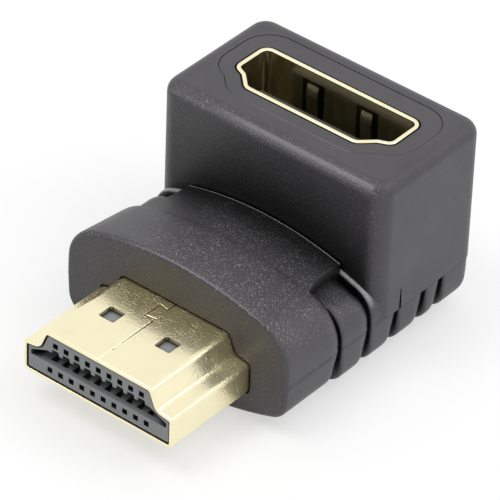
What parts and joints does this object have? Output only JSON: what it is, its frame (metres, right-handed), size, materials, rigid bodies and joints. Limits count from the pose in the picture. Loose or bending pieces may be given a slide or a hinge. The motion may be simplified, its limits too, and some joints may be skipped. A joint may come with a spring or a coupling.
{
  "type": "right-angle digital video adapter",
  "caption": "Small moulded right-angle adapter: a D-shaped video plug faces forward and its matching sprung socket opens upwards, for use behind a screen close to a wall.",
  "frame": {"origin": "on the plug's axis, in the plane of the moulding's front face, where the plug leaves it", "axes": "-Y along the plug towards its tip, +Z out of the socket's mouth, X across the width"},
  "size_m": [0.0208, 0.0304, 0.0165],
  "materials": {
    "outer_moulding": "fine-textured soft black moulding",
    "inner_moulding": "matt black moulding",
    "board": "green solder mask",
    "gold_shell": "pale gold flash over folded sheet",
    "plug_plastic": "mid-grey moulded insulator",
    "socket_plastic": "black moulded insulator",
    "contact_metal": "plated spring strip"
  },
  "bodies": {
    "root": {"overmould": "outer_moulding", "inner_mould": "inner_moulding", "circuit_board": "board", "plug_shell": "gold_shell", "plug_insulator": "plug_plastic", "socket_shell": "gold_shell", "socket_insulator": "socket_plastic", "plug_contact_01": "contact_metal", "plug_contact_02": "contact_metal", "plug_contact_03": "contact_metal", "plug_contact_04": "contact_metal", "plug_contact_05": "contact_metal", "plug_contact_06": "contact_metal", "plug_contact_07": "contact_metal", "plug_contact_08": "contact_metal", "plug_contact_09": "contact_metal", "plug_contact_10": "contact_metal", "plug_contact_11": "contact_metal", "plug_contact_12": "contact_metal", "plug_contact_13": "contact_metal", "plug_contact_14": "contact_metal", "plug_contact_15": "contact_metal", "plug_contact_16": "contact_metal", "plug_contact_17": "contact_metal", "plug_contact_18": "contact_metal", "plug_contact_19": "contact_metal", "socket_contact_01": "contact_metal", "socket_contact_02": "contact_metal", "socket_contact_03": "contact_metal", "socket_contact_04": "contact_metal", "socket_contact_05": "contact_metal", "socket_contact_06": "contact_metal", "socket_contact_07": "contact_metal", "socket_contact_08": "contact_metal", "socket_contact_09": "contact_metal", "socket_contact_10": "contact_metal", "socket_contact_11": "contact_metal", "socket_contact_12": "contact_metal", "socket_contact_13": "contact_metal", "socket_contact_14": "contact_metal", "socket_contact_15": "contact_metal", "socket_contact_16": "contact_metal", "socket_contact_17": "contact_metal", "socket_contact_18": "contact_metal", "socket_contact_19": "contact_metal"}
  },
  "joints": []
}
